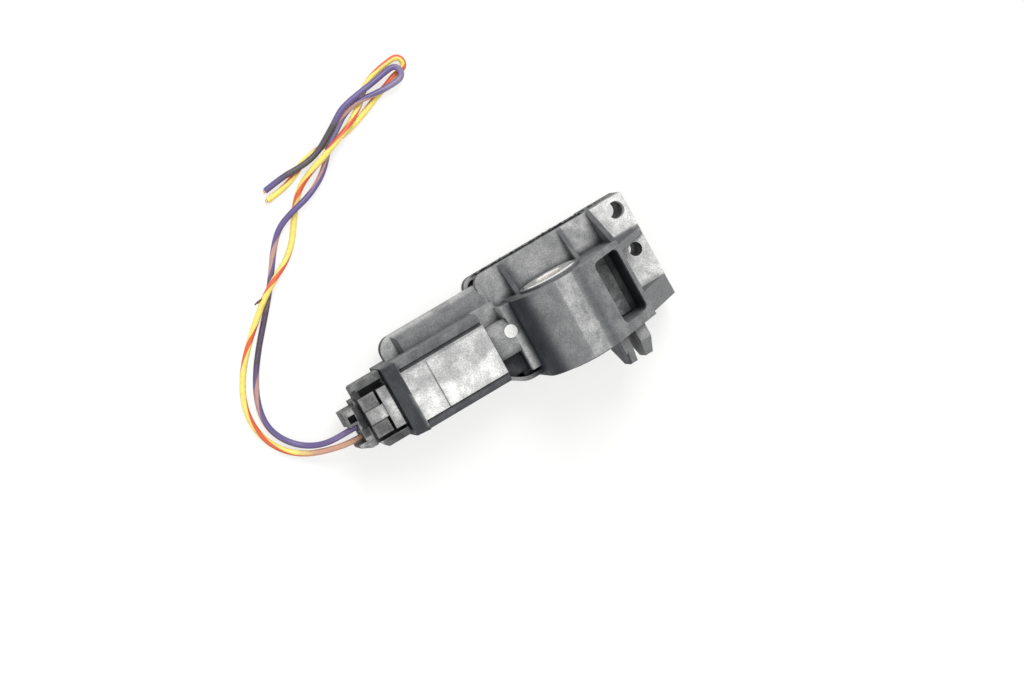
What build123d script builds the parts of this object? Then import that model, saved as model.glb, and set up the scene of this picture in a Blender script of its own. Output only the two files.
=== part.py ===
from build123d import *
from math import radians, sqrt, tan
import os

# Airbag crash sensor lying on its back cover, with its harness plug fitted and the two wires cut off.
# X runs from the wires to the end block, Y towards the bolt head's side, Z up from the table.
# Millimetres. The origin is on the table, under the middle of the sensor and its plug.

os.makedirs("parts", exist_ok=True)

# Lengths along X, to each side of the bolt's axis
end_block_reach = 32.5
wall_reach = 21.8
tray_reach_left = 18.1
strip_reach_left = 16.5
shroud_root_reach = 23.65
panel_reach = 50.7
shroud_mouth_reach = 54.7
plug_rear_reach = 64.7
wire_block_reach = 69.6

# Lengths along Y, from the boss's lower end
boss_length = 24.2
tray_low = 0.9
tray_high = 34.1
peg_reach = 8.9
plug_middle = 15.1

# The origin lies under the middle of everything but the wires
bolt_x = (wire_block_reach - end_block_reach) / 2
foot_y = (peg_reach - tray_high) / 2
plug_y = foot_y + plug_middle

# Bolt boss
boss_radius = 13.5
bolt_height = 22.0
crown_flat_half = 3.1
bolt_bore_radius = 4.25
bushing_wall = 2.2
bushing_proud = 0.25
bushing_fit = 0.02
bushing_chamfer = 0.4
bushing_flange_radius = 8.4
bushing_flange_thick = 1.0
ring_radius = 9.35
ring_proud = 0.8
bushing_radius = bolt_bore_radius + bushing_wall
crown_height = bolt_height + sqrt(boss_radius**2 - crown_flat_half**2)

# Sloping wall beside the boss, and its window pocket
shoulder_reach = 7.9
shoulder_height = 33.0
wall_end_height = 23.0
pocket_left = 10.7
pocket_right = 20.4
pocket_low = 2.8
pocket_high = 22.4
pocket_corner = 1.7
pocket_floor_skin = 0.5

# Electronics tray: a front plate on a skirt, open at the back
plate_top = 12.0
plate_thick = 2.4
plate_corner = 3.0
skirt_fit = 0.1
skirt_wall = 1.7
plate_bottom = plate_top - plate_thick
tray_left_x = bolt_x - tray_reach_left
tray_low_y = foot_y + tray_low
tray_high_y = foot_y + tray_high

# Back cover: a floor with a rim that stands outside the skirt
cover_floor = 1.8
cover_rim_height = 5.0
cover_rim_wall = 1.0
cover_left_proud = 1.9
cover_side_inset = 0.1
cover_corner = 3.4
cover_edge_chamfer = 1.0
cover_gap = 0.25
seal_thick = 0.8
lip_gap = 0.15
lip_bottom = 3.6
lip_top = 5.2
lip_corner = 5.0
end_block_skin = 1.5
skirt_bottom = cover_floor + seal_thick
skirt_inset = cover_side_inset + cover_rim_wall + skirt_fit
skirt_left = tray_left_x + skirt_inset
skirt_low = tray_low_y + skirt_inset
skirt_high = tray_high_y - skirt_inset
skirt_right = bolt_x + wall_reach - end_block_skin - cover_gap - cover_rim_wall - skirt_fit

# End block: pads level with the plate, with gussets up to the sloping wall
pad_hole_upper_radius = 2.55
pad_hole_lower_radius = 2.05
pad_hole_upper_place = (28.8, 30.2)
pad_hole_lower_place = (28.3, 17.6)
gusset_low = 20.6
gusset_thick = 1.9
foot_wedge_high = 7.2
web_thick = 1.5

# Upright ribs between the tray's front and the boss
rib_places = (-9.0, 11.1)
rib_thick = 1.3
rib_rise = 4.5

# Slotted locating peg
peg_left = 8.0
peg_right = 16.95
peg_slot = 2.7
peg_slot_left = 2.7
peg_bottom = 10.5
peg_top = 25.0
peg_straight = 4.1
peg_tip_taper_left = 0.3
peg_tip_taper_right = 1.1
peg_tip_fall = 3.0
peg_tip_rise = 5.5

# Connector shroud
shroud_half_width = 10.7
shroud_bottom = 2.0
shroud_top = 20.6
shroud_corner = 1.2
cavity_half_width = 8.6
cavity_bottom = 4.0
cavity_top = 13.9
tunnel_half_width = 6.9
tunnel_top = 17.6
rail_width = 2.4
rail_rise = 0.7
panel_half_width = 7.65
panel_shift = -0.35
panel_rise = 1.4
mouth_height = 19.4
catch_bar = 3.4
catch_pocket_length = 5.2
catch_pocket_half_width = 3.2
catch_pocket_rise = 1.3

# Neck between shroud and tray
neck_bottom = 5.5
neck_top = 12.6
hump_half_width = 5.2
hump_top = 19.8
hump_round = 3.0
strip_thick = 2.9
strip_top = 20.0
strip_low = 3.7
strip_high = 24.0
sweep_wall = 1.3
sweep_top = 15.0

# Guard bar beside the shroud
guard_reach = 50.7
guard_slope = 1.3
guard_edge = 31.7
guard_top = 12.4
guard_nose_length = 4.2
guard_nose_top = 9.8
guard_corner = 4.2
guard_round = 3.6

# Plug
plug_clearance = 0.35
plug_nose_gap = 1.4
plug_collar_half_width = 10.1
plug_collar_shift = 0.6
plug_collar_bottom = 11.4
plug_body_inset = 2.2
plug_collar_floor = 12.6
plug_collar_top = 17.4
plug_collar_wall = 2.2
plug_collar_gap = 0.6
plug_collar_cut_x = 2.0
plug_collar_cut_y = 2.8
plug_edge = 0.8
wire_block_low = 7.85
wire_block_high = 4.9
wire_block_bottom = 4.6
wire_block_top = 14.6
wire_block_cut_x = 3.0
wire_block_cut_y = 1.4
wire_block_step_x = 1.8
wire_block_step_y = 1.35
wire_notch_depth = 2.4
wire_notch_gap = 0.35
tab_pocket_length = 2.3
tab_pocket_width = 2.2
tab_pocket_depth = 3.5
tab_pocket_wall = 0.7

# Terminals, seals and wires
wire_pitch = 3.2
terminal_shift = -2.65
terminal_height = 8.8
wire_radius = 0.9
wire_sides = 6
wire_fit = 0.05
seal_bore_radius = 1.5
seal_length = 6.0
seal_inset = 1.0
seal_core_radius = 1.2
seal_lips = 2
seal_fit = 0.05
terminal_bore_radius = 1.15
pin_size = 0.64
pin_fit = 0.06
pin_tip_engagement = 5.5
pin_bend_reach = 12.2
pin_below_board = 1.0
socket_size = 1.5
socket_length = 9.0
socket_inset = 3.3
crimp_radius = 0.75
crimp_length = 4.5
insulation_crimp_length = 3.0
insulation_crimp_overlap = 0.3
wire_end_gap = 0.2
retainer_thick = 1.8
retainer_fit = 0.3
ring_seal_clear = 0.3
ring_seal_width = 3.2
ring_seal_depth = 1.1

# Latch lever: an arm rooted at the plug's nose, pressed down at its rear end
latch_root_reach = 34.2
latch_post_length = 3.0
latch_root_height = 15.9
latch_root_radius = 0.9
latch_root_fit = 0.05
latch_post_top = 17.2
latch_thick = 1.5
latch_arm_half_width = 5.0
latch_rear_half_width = 6.2
latch_arm_top = 16.7
latch_tip_reach = 64.2
latch_hook_length = 2.8
latch_hook_half_width = 2.8
latch_hook_engagement = 0.9
latch_hook_gap = 0.3
thumb_front_reach = 55.5
thumb_rear_reach = 58.5
thumb_rise = 1.3
neck_half_width = 1.95
neck_rise = 0.7
latch_slit = 0.7

# Circuit board and its parts
board_length = 29.0
board_width = 24.0
board_thick = 1.6
board_bottom = 4.4
board_edge_gap = 0.8
post_radius = 1.6
post_inset = 2.6
chip_size = 5.0
chip_height = 1.6
driver_length = 6.2
driver_width = 5.0
driver_height = 1.4
capacitor_length = 3.2
capacitor_width = 1.6
capacitor_height = 1.3

# What moves along with the lever's root: the plug's nose, the cavity's end, seal, sockets and pins
plug_nose_reach = latch_root_reach - latch_post_length
cavity_end_reach = plug_nose_reach - retainer_thick - plug_nose_gap
ring_seal_place = latch_root_reach + ring_seal_clear
socket_front_reach = plug_nose_reach + socket_inset
pin_tip_reach = socket_front_reach + pin_tip_engagement

# Wires off the table: lying on it, over one wire, and over two
wire_crossing_gap = 0.15
wire_slack = 0.03
bend_share = 0.45
lying = wire_radius + 0.02
over = lying + 2 * wire_radius + wire_crossing_gap
top = over + 2 * wire_radius + wire_crossing_gap

# Copper strands at the cut ends
strand_radius = 0.45
strand_length = 0.6

mouth_x = bolt_x - shroud_mouth_reach
root_x = bolt_x - shroud_root_reach
panel_x = bolt_x - panel_reach
end_x = bolt_x + end_block_reach
block_x = bolt_x + wall_reach - end_block_skin
boss_top_y = foot_y + boss_length
flange_seat_y = boss_top_y + ring_proud + bushing_proud - bushing_flange_thick
plug_nose_x = bolt_x - plug_nose_reach
collar_front_x = mouth_x - plug_collar_gap
plug_rear_x = bolt_x - plug_rear_reach
wire_block_x = bolt_x - wire_block_reach
board_top = board_bottom + board_thick
terminal_y = plug_y + terminal_shift
terminal_ys = (terminal_y + wire_pitch / 2, terminal_y - wire_pitch / 2)
upper_and_lower = ("upper", "lower")


def block(left, right, low, high, bottom, top, mode=Mode.ADD):
    """A rectangular block between six named faces."""
    centre = ((left + right) / 2, (low + high) / 2, (bottom + top) / 2)
    with Locations(centre):
        Box(right - left, high - low, top - bottom, mode=mode)


# Guard bar beside the shroud: a rounded section with a low nose, rounded in plan, and a slope up to the bar
guard_x = bolt_x - guard_reach
guard_low = plug_y + shroud_half_width - shroud_corner
guard_high = foot_y + guard_edge
guard_end_x = skirt_left
with BuildPart() as guard_bar:
    with BuildSketch(Plane.YZ.offset(guard_x)) as guard_section:
        with Locations(((guard_low + guard_high) / 2, (neck_bottom + guard_top) / 2)):
            Rectangle(guard_high - guard_low, guard_top - neck_bottom)
        fillet(guard_section.vertices().group_by(Axis.X)[-1].sort_by(Axis.Y)[-1], guard_round)
    extrude(amount=guard_end_x - guard_x)
    with BuildSketch(Plane.XY.offset(neck_bottom)) as guard_plan:
        with Locations(((guard_x + guard_end_x) / 2, (guard_low + guard_high) / 2)):
            Rectangle(guard_end_x - guard_x, guard_high - guard_low)
        fillet(guard_plan.vertices().group_by(Axis.X)[0].sort_by(Axis.Y)[-1], guard_corner)
    extrude(amount=guard_top - neck_bottom, mode=Mode.INTERSECT)
    with BuildSketch(Plane.XZ.offset(-guard_low)):
        with BuildLine():
            Polyline(
                (guard_x, guard_nose_top),
                (guard_x, guard_top),
                (guard_x + guard_nose_length + guard_slope, guard_top),
                (guard_x + guard_nose_length, guard_nose_top),
                close=True,
            )
        make_face()
    extrude(amount=-(guard_high - guard_low), mode=Mode.SUBTRACT)

# Sensor housing, one moulding
with BuildPart() as sensor_housing:
    # Boss, its foot and the sloping wall share one profile, seen along Y
    with BuildSketch(Plane.XZ.offset(-foot_y)):
        with Locations((bolt_x, bolt_height)):
            Circle(boss_radius)
        with Locations((bolt_x, (plate_bottom + bolt_height) / 2)):
            Rectangle(2 * boss_radius, bolt_height - plate_bottom)
        with BuildLine():
            Polyline(
                (bolt_x, plate_bottom),
                (bolt_x + wall_reach, plate_bottom),
                (bolt_x + wall_reach, wall_end_height),
                (bolt_x + shoulder_reach, shoulder_height),
                (bolt_x + crown_flat_half, crown_height),
                (bolt_x, crown_height),
                close=True,
            )
        make_face()
        with Locations((bolt_x, crown_height + boss_radius / 2)):
            Rectangle(2 * boss_radius, boss_radius, mode=Mode.SUBTRACT)
        with Locations((bolt_x, plate_bottom - boss_radius / 2)):
            Rectangle(2 * boss_radius, boss_radius, mode=Mode.SUBTRACT)
    extrude(amount=-boss_length)

    # Front plate with rounded corners at the connector's end
    with BuildSketch(Plane.XY.offset(plate_bottom)) as plate_outline:
        with Locations(((tray_left_x + end_x) / 2, (tray_low_y + tray_high_y) / 2)):
            Rectangle(end_x - tray_left_x, tray_high_y - tray_low_y)
        fillet(plate_outline.vertices().group_by(Axis.X)[0], plate_corner)
    extrude(amount=plate_thick)

    # End block, solid down to the table
    block(block_x, end_x, tray_low_y, tray_high_y, 0, plate_top)

    # Skirt under the plate
    with BuildSketch(Plane.XY.offset(skirt_bottom)) as skirt_outline:
        with Locations(((skirt_left + skirt_right) / 2, (skirt_low + skirt_high) / 2)):
            Rectangle(skirt_right - skirt_left, skirt_high - skirt_low)
        fillet(skirt_outline.vertices().group_by(Axis.X)[0], plate_corner - skirt_inset)
        offset(amount=-skirt_wall, mode=Mode.SUBTRACT)
    extrude(amount=plate_bottom - skirt_bottom)

    # Lip that closes the gap to the cover's rim, but for a crescent at each corner
    cover_left_x = tray_left_x - cover_left_proud
    lip_left = cover_left_x + cover_rim_wall + lip_gap
    with BuildSketch(Plane.XY.offset(lip_bottom)) as lip_outline:
        with Locations(((lip_left + skirt_right - skirt_wall / 2) / 2, (skirt_low + skirt_high) / 2)):
            Rectangle(skirt_right - skirt_wall / 2 - lip_left, skirt_high - skirt_low)
        fillet(lip_outline.vertices().group_by(Axis.X)[0], lip_corner)
        with Locations(((skirt_left + skirt_right) / 2, (skirt_low + skirt_high) / 2)):
            Rectangle(
                skirt_right - skirt_left - skirt_wall,
                skirt_high - skirt_low - skirt_wall,
                mode=Mode.SUBTRACT,
            )
    extrude(amount=lip_top - lip_bottom)

    # Posts that carry the board
    board_left = skirt_left + skirt_wall + board_edge_gap
    board_low = (skirt_low + skirt_high - board_width) / 2
    post_xs = (board_left + post_inset, board_left + board_length - post_inset)
    post_ys = (board_low + post_inset, board_low + board_width - post_inset)
    with BuildSketch(Plane.XY.offset(board_top)):
        with Locations([(x, y) for x in post_xs for y in post_ys]):
            Circle(post_radius)
    extrude(amount=plate_bottom - board_top)

    # Gussets from the sloping wall down to the pads
    with BuildSketch(Plane.XZ.offset(-(foot_y + gusset_low))):
        with BuildLine():
            Polyline(
                (bolt_x + wall_reach, plate_top),
                (end_x, plate_top),
                (bolt_x + wall_reach, wall_end_height),
                close=True,
            )
        make_face()
    extrude(amount=-gusset_thick)
    with BuildSketch(Plane.XZ.offset(-tray_low_y)):
        with BuildLine():
            Polyline(
                (bolt_x + wall_reach, plate_top),
                (end_x, plate_top),
                (bolt_x + wall_reach, wall_end_height),
                close=True,
            )
        make_face()
    extrude(amount=-(foot_wedge_high - tray_low))

    # Web and ribs that run from the boss up to the tray's far edge, seen along X
    web_x = bolt_x + wall_reach - web_thick
    with BuildSketch(Plane.YZ.offset(web_x)):
        with BuildLine():
            Polyline((boss_top_y, plate_top), (tray_high_y, plate_top), (boss_top_y, wall_end_height), close=True)
        make_face()
    extrude(amount=web_thick)
    for rib_place in rib_places:
        with BuildSketch(Plane.YZ.offset(bolt_x + rib_place - rib_thick / 2)):
            with BuildLine():
                Polyline(
                    (boss_top_y, plate_top),
                    (tray_high_y, plate_top),
                    (boss_top_y, plate_top + rib_rise),
                    close=True,
                )
            make_face()
        extrude(amount=rib_thick)

    # Raised rings at both ends of the boss
    with BuildSketch(Plane.XZ.offset(-(foot_y - ring_proud))):
        with Locations((bolt_x, bolt_height)):
            Circle(ring_radius)
    extrude(amount=-(boss_length + 2 * ring_proud))

    # Window pocket in the sloping wall, down to just above the plate's level
    pocket_floor = plate_top + pocket_floor_skin
    with BuildSketch(Plane.XY.offset(pocket_floor)) as pocket:
        with Locations((bolt_x + (pocket_left + pocket_right) / 2, foot_y + (pocket_low + pocket_high) / 2)):
            Rectangle(pocket_right - pocket_left, pocket_high - pocket_low)
        fillet(pocket.vertices(), pocket_corner)
    extrude(amount=crown_height - pocket_floor, mode=Mode.SUBTRACT)

    # Slotted locating peg, tapered at its tip both in plan and in height
    peg_left_x = bolt_x + peg_left
    peg_right_x = bolt_x + peg_right
    peg_tip_y = foot_y - peg_reach
    peg_taper_y = foot_y - peg_straight
    slot_low_x = peg_left_x + peg_slot_left
    slot_high_x = slot_low_x + peg_slot
    with BuildSketch(Plane.XY.offset(peg_bottom)):
        with BuildLine():
            Polyline(
                (peg_left_x, foot_y + pocket_low),
                (peg_left_x, peg_taper_y),
                (peg_left_x + peg_tip_taper_left, peg_tip_y),
                (peg_right_x - peg_tip_taper_right, peg_tip_y),
                (peg_right_x, peg_taper_y),
                (peg_right_x, foot_y + pocket_low),
                close=True,
            )
        make_face()
    extrude(amount=peg_top - peg_bottom)
    with BuildSketch(Plane.YZ.offset(peg_left_x)):
        with BuildLine():
            Polyline(
                (peg_taper_y, peg_top),
                (peg_tip_y, peg_top),
                (peg_tip_y, peg_top - peg_tip_fall),
                close=True,
            )
        make_face()
        with BuildLine():
            Polyline(
                (peg_taper_y, peg_bottom),
                (peg_tip_y, peg_bottom),
                (peg_tip_y, peg_bottom + peg_tip_rise),
                close=True,
            )
        make_face()
    extrude(amount=peg_right_x - peg_left_x, mode=Mode.SUBTRACT)
    block(slot_low_x, slot_high_x, peg_tip_y - 1, foot_y, peg_bottom - 1, peg_top + 1, mode=Mode.SUBTRACT)

    # Connector shroud: body, rails and panel
    shroud_low = plug_y - shroud_half_width
    shroud_high = plug_y + shroud_half_width
    rail_top = shroud_top + rail_rise
    panel_top = shroud_top + panel_rise
    with BuildSketch(Plane.YZ.offset(mouth_x)) as shroud_section:
        with BuildLine():
            Polyline(
                (shroud_low, shroud_bottom),
                (shroud_high, shroud_bottom),
                (shroud_high, rail_top),
                (shroud_high - rail_width, rail_top),
                (shroud_high - rail_width, shroud_top),
                (shroud_low + rail_width, shroud_top),
                (shroud_low + rail_width, rail_top),
                (shroud_low, rail_top),
                close=True,
            )
        make_face()
        outer_corners = shroud_section.vertices().group_by(Axis.X)
        fillet(outer_corners[0] + outer_corners[-1], shroud_corner)
    extrude(amount=root_x - mouth_x)
    block(mouth_x, root_x, plug_y + panel_shift - panel_half_width, plug_y + panel_shift + panel_half_width,
          shroud_top, panel_top)

    # The bar over the mouth slopes down towards the plug
    with BuildSketch(Plane.XZ.offset(-shroud_low)):
        with BuildLine():
            Polyline(
                (mouth_x, tunnel_top),
                (panel_x, tunnel_top),
                (panel_x, panel_top),
                (mouth_x, mouth_height),
                close=True,
            )
        make_face()
    extrude(amount=-2 * shroud_half_width)
    with BuildSketch(Plane.XZ.offset(-shroud_low)):
        with BuildLine():
            Polyline(
                (mouth_x, mouth_height),
                (panel_x, panel_top),
                (mouth_x, panel_top),
                close=True,
            )
        make_face()
    extrude(amount=-2 * shroud_half_width, mode=Mode.SUBTRACT)

    # Neck between shroud and tray, with a rounded hump and an end strip beside the boss
    block(root_x, skirt_left + skirt_wall / 2, foot_y + strip_low, shroud_high, neck_bottom, neck_top)
    with BuildSketch(Plane.YZ.offset(root_x)) as hump:
        with Locations((plug_y, (neck_bottom + hump_top) / 2)):
            Rectangle(2 * hump_half_width, hump_top - neck_bottom)
        fillet(hump.vertices().group_by(Axis.Y)[-1], hump_round)
    extrude(amount=shroud_root_reach - strip_reach_left)
    strip_x = bolt_x - strip_reach_left
    block(strip_x, strip_x + strip_thick, foot_y + strip_low, foot_y + strip_high, plate_bottom, strip_top)

    # Swept wall from the shroud's lower side round to the boss's foot
    with BuildSketch(Plane.XY.offset(neck_bottom)):
        with BuildLine():
            outer = Spline(
                (root_x - rail_width, shroud_low),
                (strip_x, tray_low_y),
                tangents=[(1, 0), (1, 0)],
            )
            Line(outer @ 1, (bolt_x - boss_radius, tray_low_y))
            Line((bolt_x - boss_radius, tray_low_y), (bolt_x - boss_radius, tray_low_y + sweep_wall))
            Line((bolt_x - boss_radius, tray_low_y + sweep_wall), (strip_x, tray_low_y + sweep_wall))
            inner = Spline(
                (strip_x, tray_low_y + sweep_wall),
                (root_x - rail_width, shroud_low + sweep_wall),
                tangents=[(-1, 0), (-1, 0)],
            )
            Line(inner @ 1, outer @ 0)
        make_face()
    extrude(amount=sweep_top - neck_bottom)

    add(guard_bar.part)

    # Shroud cavity, latch tunnel and the pocket behind the catch bar
    block(mouth_x, bolt_x - cavity_end_reach, plug_y - cavity_half_width, plug_y + cavity_half_width,
          cavity_bottom, cavity_top, mode=Mode.SUBTRACT)
    block(mouth_x, bolt_x - cavity_end_reach, plug_y - tunnel_half_width, plug_y + tunnel_half_width,
          cavity_top, tunnel_top, mode=Mode.SUBTRACT)
    pocket_front_x = mouth_x + catch_bar
    block(pocket_front_x, pocket_front_x + catch_pocket_length,
          plug_y - catch_pocket_half_width, plug_y + catch_pocket_half_width,
          tunnel_top, tunnel_top + catch_pocket_rise, mode=Mode.SUBTRACT)

    # Bolt bore for the bushing, the two holes in the end block and the slots for the pins
    with Locations(Plane.XZ.offset(-(foot_y + boss_length / 2)).location):
        with Locations((bolt_x, bolt_height)):
            Cylinder(bushing_radius + bushing_fit, 2 * boss_length, mode=Mode.SUBTRACT)
    with Locations(Plane.XZ.offset(-flange_seat_y).location):
        with Locations((bolt_x, bolt_height)):
            Cylinder(bushing_flange_radius + bushing_fit, boss_top_y + 2 * ring_proud - flange_seat_y,
                     align=(Align.CENTER, Align.CENTER, Align.MAX), mode=Mode.SUBTRACT)
    for hole_place, hole_radius in (
        (pad_hole_upper_place, pad_hole_upper_radius),
        (pad_hole_lower_place, pad_hole_lower_radius),
    ):
        with Locations((bolt_x + hole_place[0], foot_y + hole_place[1], plate_top / 2)):
            Cylinder(hole_radius, 2 * plate_top, mode=Mode.SUBTRACT)
    pin_slot = pin_size / 2 + pin_fit
    for pin_y in terminal_ys:
        block(bolt_x - cavity_end_reach - 1, skirt_left + skirt_wall + 1, pin_y - pin_slot, pin_y + pin_slot,
              terminal_height - pin_slot, terminal_height + pin_slot,
              mode=Mode.SUBTRACT)

sensor_housing.part.label = "sensor_housing"
export_step(sensor_housing.part, "parts/sensor_housing.step")
print("sensor_housing", sensor_housing.part.is_valid, len(sensor_housing.solids()))

# Back cover, a shallow lid whose rim shows past the plate's rounded corner
cover_right_x = block_x - cover_gap
cover_low_y = tray_low_y + cover_side_inset
cover_high_y = tray_high_y - cover_side_inset
with BuildPart() as rear_cover:
    with BuildSketch() as cover_outline:
        with Locations(((cover_left_x + cover_right_x) / 2, (cover_low_y + cover_high_y) / 2)):
            Rectangle(cover_right_x - cover_left_x, cover_high_y - cover_low_y)
        fillet(cover_outline.vertices().group_by(Axis.X)[0], cover_corner)
    extrude(amount=cover_rim_height)
    with BuildSketch(Plane.XY.offset(cover_floor)) as cover_inside:
        with Locations(((cover_left_x + cover_right_x) / 2, (cover_low_y + cover_high_y) / 2)):
            Rectangle(cover_right_x - cover_left_x, cover_high_y - cover_low_y)
        fillet(cover_inside.vertices().group_by(Axis.X)[0], cover_corner)
        offset(amount=-cover_rim_wall, mode=Mode.REPLACE)
    extrude(amount=cover_rim_height - cover_floor, mode=Mode.SUBTRACT)
    chamfer(rear_cover.edges().group_by(Axis.Z)[0], cover_edge_chamfer)
rear_cover.part.label = "rear_cover"
export_step(rear_cover.part, "parts/rear_cover.step")
print("rear_cover", rear_cover.part.is_valid, len(rear_cover.solids()))

# Seal between skirt and cover, a flat ring on the cover's floor
with BuildPart() as cover_seal:
    with BuildSketch(Plane.XY.offset(cover_floor)) as seal_outline:
        with Locations(((cover_left_x + cover_right_x) / 2, (cover_low_y + cover_high_y) / 2)):
            Rectangle(cover_right_x - cover_left_x, cover_high_y - cover_low_y)
        fillet(seal_outline.vertices().group_by(Axis.X)[0], cover_corner)
        offset(amount=-(cover_rim_wall + skirt_fit), mode=Mode.REPLACE)
        with Locations(((skirt_left + skirt_right) / 2, (skirt_low + skirt_high) / 2)):
            Rectangle(
                skirt_right - skirt_left - 2 * skirt_wall,
                skirt_high - skirt_low - 2 * skirt_wall,
                mode=Mode.SUBTRACT,
            )
    extrude(amount=seal_thick)
cover_seal.part.label = "cover_seal"
export_step(cover_seal.part, "parts/cover_seal.step")

# Metal bushing moulded into the boss, with a flange at its upper end
bushing_length = boss_length + 2 * ring_proud + 2 * bushing_proud
with BuildPart() as mounting_bushing:
    with Locations(Plane.XZ.offset(-(foot_y + boss_length / 2)).location):
        with Locations((bolt_x, bolt_height)):
            Cylinder(bushing_radius, bushing_length)
    with Locations(Plane.XZ.offset(-flange_seat_y).location):
        with Locations((bolt_x, bolt_height)):
            Cylinder(bushing_flange_radius, bushing_flange_thick, align=(Align.CENTER, Align.CENTER, Align.MAX))
    with Locations(Plane.XZ.offset(-(foot_y + boss_length / 2)).location):
        with Locations((bolt_x, bolt_height)):
            Cylinder(bolt_bore_radius, bushing_length, mode=Mode.SUBTRACT)
    end_edges = mounting_bushing.edges().filter_by(GeomType.CIRCLE).group_by(Axis.Y)
    chamfer(end_edges[0] + end_edges[-1], bushing_chamfer)
mounting_bushing.part.label = "mounting_bushing"
export_step(mounting_bushing.part, "parts/mounting_bushing.step")

# Circuit board, held up against the posts
with BuildPart() as circuit_board:
    with BuildSketch(Plane.XY.offset(board_bottom)):
        with Locations((board_left + board_length / 2, board_low + board_width / 2)):
            Rectangle(board_length, board_width)
        with Locations([(bolt_x - pin_bend_reach, pin_y) for pin_y in terminal_ys]):
            Circle(pin_size / sqrt(2) + pin_fit, mode=Mode.SUBTRACT)
    extrude(amount=board_thick)
circuit_board.part.label = "circuit_board"
export_step(circuit_board.part, "parts/circuit_board.step")

# Chips and capacitors on the board's upper side
board_middle_x = board_left + board_length / 2
board_middle_y = board_low + board_width / 2
with BuildPart() as acceleration_chip:
    with Locations((board_middle_x + chip_size, board_middle_y, board_top + chip_height / 2)):
        Box(chip_size, chip_size, chip_height)
    chamfer(acceleration_chip.edges().group_by(Axis.Z)[-1], chip_height / 5)
acceleration_chip.part.label = "acceleration_chip"
export_step(acceleration_chip.part, "parts/acceleration_chip.step")

with BuildPart() as interface_chip:
    with Locations((board_middle_x - chip_size, board_middle_y, board_top + driver_height / 2)):
        Box(driver_width, driver_length, driver_height)
    chamfer(interface_chip.edges().group_by(Axis.Z)[-1], driver_height / 5)
interface_chip.part.label = "interface_chip"
export_step(interface_chip.part, "parts/interface_chip.step")

with BuildPart() as filter_capacitors:
    with Locations((board_middle_x, board_middle_y - chip_size - capacitor_length, board_top + capacitor_height / 2)):
        with GridLocations(3 * capacitor_width, 0, 4, 1):
            Box(capacitor_width, capacitor_length, capacitor_height)
filter_capacitors.part.label = "filter_capacitors"
export_step(filter_capacitors.part, "parts/filter_capacitors.step")

# Header pins, bent down into the board
pin_foot = board_bottom - pin_below_board
for side, pin_y in zip(upper_and_lower, terminal_ys):
    with BuildPart() as header_pin:
        with BuildSketch(Plane.XZ.offset(-(pin_y - pin_size / 2))) as pin_shape:
            with BuildLine():
                Polyline(
                    (bolt_x - pin_tip_reach, terminal_height - pin_size / 2),
                    (bolt_x - pin_bend_reach - pin_size / 2, terminal_height - pin_size / 2),
                    (bolt_x - pin_bend_reach - pin_size / 2, pin_foot),
                    (bolt_x - pin_bend_reach + pin_size / 2, pin_foot),
                    (bolt_x - pin_bend_reach + pin_size / 2, terminal_height + pin_size / 2),
                    (bolt_x - pin_tip_reach, terminal_height + pin_size / 2),
                    close=True,
                )
            make_face()
            fillet(pin_shape.vertices().group_by(Axis.Y)[-1].sort_by(Axis.X)[-1], pin_size)
        extrude(amount=-pin_size)
        chamfer(header_pin.edges().group_by(Axis.X)[0], pin_size / 5)
    header_pin.part.label = "header_pin_" + side
    export_step(header_pin.part, "parts/header_pin_" + side + ".step")

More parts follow.
